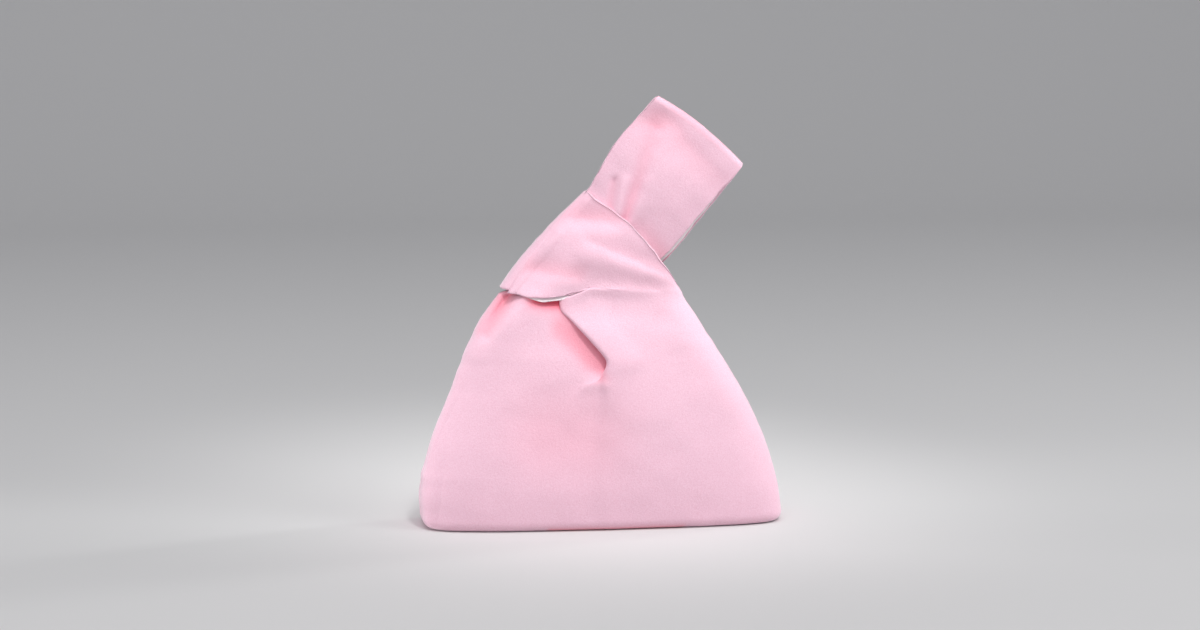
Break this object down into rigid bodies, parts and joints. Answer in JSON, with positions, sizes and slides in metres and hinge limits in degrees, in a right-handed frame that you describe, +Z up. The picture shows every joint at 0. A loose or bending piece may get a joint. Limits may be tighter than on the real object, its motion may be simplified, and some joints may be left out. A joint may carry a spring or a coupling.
{
  "type": "knot bag",
  "caption": "Soft cloth wrist bag that stands filled, with its long flat strap drawn through its short strap to close the pleated mouth.",
  "frame": {"origin": "middle of the flat base, on the surface that the bag stands on", "axes": "+X to the right across the front, where the long strap leans, +Y from the front panel to the back panel, +Z up"},
  "size_m": [0.2548, 0.0807, 0.2997],
  "materials": {
    "brushed_cloth": "brushed pale pink cloth, matt with a soft nap",
    "lining_cloth": "plain off-white lining, matt"
  },
  "bodies": {
    "root": {"front_panel": "brushed_cloth", "back_panel": "brushed_cloth", "front_long_lining": "lining_cloth", "back_long_lining": "lining_cloth", "front_short_lining": "lining_cloth", "back_short_lining": "lining_cloth"}
  },
  "joints": []
}
